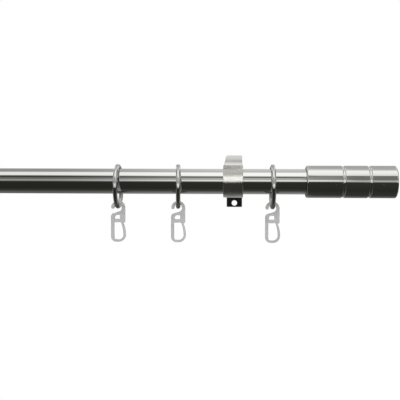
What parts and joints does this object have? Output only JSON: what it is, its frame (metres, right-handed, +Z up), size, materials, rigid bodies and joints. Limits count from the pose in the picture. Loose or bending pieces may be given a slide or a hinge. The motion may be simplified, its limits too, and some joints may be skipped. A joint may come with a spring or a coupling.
{
  "type": "curtain rod",
  "caption": "Round steel curtain rod on two wall brackets, with grooved cylinder finials and wire rings that carry plastic curtain hooks.",
  "frame": {"origin": "middle of the four wall-screw holes, in the plane of the wall", "axes": "+X along the rod to the right as seen from the room, +Y into the wall, +Z up"},
  "size_m": [1.0896, 0.1297, 0.0731],
  "materials": {
    "rod_steel": "drawn and polished",
    "bracket_steel": "satin",
    "finial_steel": "turned satin",
    "ring_steel": "polished",
    "screw_steel": "plated",
    "black_coating": "semi-gloss black coating",
    "milky_plastic": "milky, slightly see-through",
    "bush_plastic": "moulded"
  },
  "bodies": {
    "bracketed_rod": {"rod": "rod_steel", "left_wall_plate": "black_coating", "left_bracket_arm": "bracket_steel", "left_rod_band": "bracket_steel", "left_band_screw": "screw_steel", "left_rod_grub_screw": "screw_steel", "left_arm_grub_screw": "screw_steel", "right_wall_plate": "black_coating", "right_bracket_arm": "bracket_steel", "right_rod_band": "bracket_steel", "right_band_screw": "screw_steel", "right_rod_grub_screw": "screw_steel", "right_arm_grub_screw": "screw_steel"},
    "left_finial": {"left_finial_sleeve": "finial_steel", "left_finial_end_disc": "finial_steel", "left_finial_bush": "bush_plastic", "left_finial_grub_screw": "screw_steel"},
    "right_finial": {"right_finial_sleeve": "finial_steel", "right_finial_end_disc": "finial_steel", "right_finial_bush": "bush_plastic", "right_finial_grub_screw": "screw_steel"},
    "ring_01": {"ring_01": "ring_steel"},
    "hook_01": {"hook_01": "milky_plastic"},
    "ring_02": {"ring_02": "ring_steel"},
    "hook_02": {"hook_02": "milky_plastic"},
    "ring_03": {"ring_03": "ring_steel"},
    "hook_03": {"hook_03": "milky_plastic"},
    "ring_04": {"ring_04": "ring_steel"},
    "hook_04": {"hook_04": "milky_plastic"},
    "ring_05": {"ring_05": "ring_steel"},
    "hook_05": {"hook_05": "milky_plastic"},
    "ring_06": {"ring_06": "ring_steel"},
    "hook_06": {"hook_06": "milky_plastic"},
    "ring_07": {"ring_07": "ring_steel"},
    "hook_07": {"hook_07": "milky_plastic"},
    "ring_08": {"ring_08": "ring_steel"},
    "hook_08": {"hook_08": "milky_plastic"},
    "ring_09": {"ring_09": "ring_steel"},
    "hook_09": {"hook_09": "milky_plastic"},
    "ring_10": {"ring_10": "ring_steel"},
    "hook_10": {"hook_10": "milky_plastic"}
  },
  "joints": [
    {"name": "left_finial_pull", "type": "slide", "parent": "bracketed_rod", "child": "left_finial", "axis": [-1, 0, 0], "range_m": [0, 0.025]},
    {"name": "right_finial_pull", "type": "slide", "parent": "bracketed_rod", "child": "right_finial", "axis": [1, 0, 0], "range_m": [0, 0.025]},
    {"name": "ring_01_slide", "type": "slide", "parent": "bracketed_rod", "child": "ring_01", "axis": [1, 0, 0], "range_m": [-0.0173, 0.0146]},
    {"name": "hook_01_swing", "type": "hinge", "parent": "ring_01", "child": "hook_01", "pos_m": [-0.4491, -0.112, -0.0185], "axis": [0.0436, 0.999, 0], "range_deg": [-75, 75]},
    {"name": "ring_02_slide", "type": "slide", "parent": "bracketed_rod", "child": "ring_02", "axis": [1, 0, 0], "range_m": [-0.0272, 0.0332]},
    {"name": "hook_02_swing", "type": "hinge", "parent": "ring_02", "child": "hook_02", "pos_m": [-0.3746, -0.112, -0.0185], "axis": [0.0698, 0.9976, 0], "range_deg": [-75, 75]},
    {"name": "ring_03_slide", "type": "slide", "parent": "bracketed_rod", "child": "ring_03", "axis": [1, 0, 0], "range_m": [-0.0332, 0.1158]},
    {"name": "hook_03_swing", "type": "hinge", "parent": "ring_03", "child": "hook_03", "pos_m": [-0.3266, -0.112, -0.0185], "axis": [0.0314, 0.9995, 0], "range_deg": [-75, 75]},
    {"name": "ring_04_slide", "type": "slide", "parent": "bracketed_rod", "child": "ring_04", "axis": [1, 0, 0], "range_m": [-0.1158, 0.1158]},
    {"name": "hook_04_swing", "type": "hinge", "parent": "ring_04", "child": "hook_04", "pos_m": [-0.19596, -0.112, -0.0185], "axis": [-0.0419, 0.9991, 0], "range_deg": [-75, 75]},
    {"name": "ring_05_slide", "type": "slide", "parent": "bracketed_rod", "child": "ring_05", "axis": [1, 0, 0], "range_m": [-0.1158, 0.1158]},
    {"name": "hook_05_swing", "type": "hinge", "parent": "ring_05", "child": "hook_05", "pos_m": [-0.06532, -0.112, -0.0185], "axis": [0.0558, 0.9984, 0], "range_deg": [-75, 75]},
    {"name": "ring_06_slide", "type": "slide", "parent": "bracketed_rod", "child": "ring_06", "axis": [1, 0, 0], "range_m": [-0.1158, 0.1158]},
    {"name": "hook_06_swing", "type": "hinge", "parent": "ring_06", "child": "hook_06", "pos_m": [0.06532, -0.112, -0.0185], "axis": [-0.0279, 0.9996, 0], "range_deg": [-75, 75]},
    {"name": "ring_07_slide", "type": "slide", "parent": "bracketed_rod", "child": "ring_07", "axis": [1, 0, 0], "range_m": [-0.1158, 0.1158]},
    {"name": "hook_07_swing", "type": "hinge", "parent": "ring_07", "child": "hook_07", "pos_m": [0.19596, -0.112, -0.0185], "axis": [-0.0628, 0.998, 0], "range_deg": [-75, 75]},
    {"name": "ring_08_slide", "type": "slide", "parent": "bracketed_rod", "child": "ring_08", "axis": [1, 0, 0], "range_m": [-0.1158, 0.0332]},
    {"name": "hook_08_swing", "type": "hinge", "parent": "ring_08", "child": "hook_08", "pos_m": [0.3266, -0.112, -0.0185], "axis": [-0.0244, 0.9997, 0], "range_deg": [-75, 75]},
    {"name": "ring_09_slide", "type": "slide", "parent": "bracketed_rod", "child": "ring_09", "axis": [1, 0, 0], "range_m": [-0.0332, 0.0272]},
    {"name": "hook_09_swing", "type": "hinge", "parent": "ring_09", "child": "hook_09", "pos_m": [0.3746, -0.112, -0.0185], "axis": [-0.0906, 0.9959, 0], "range_deg": [-75, 75]},
    {"name": "ring_10_slide", "type": "slide", "parent": "bracketed_rod", "child": "ring_10", "axis": [1, 0, 0], "range_m": [-0.0146, 0.0173]},
    {"name": "hook_10_swing", "type": "hinge", "parent": "ring_10", "child": "hook_10", "pos_m": [0.4491, -0.112, -0.0185], "axis": [-0.0227, 0.9997, 0], "range_deg": [-75, 75]}
  ]
}
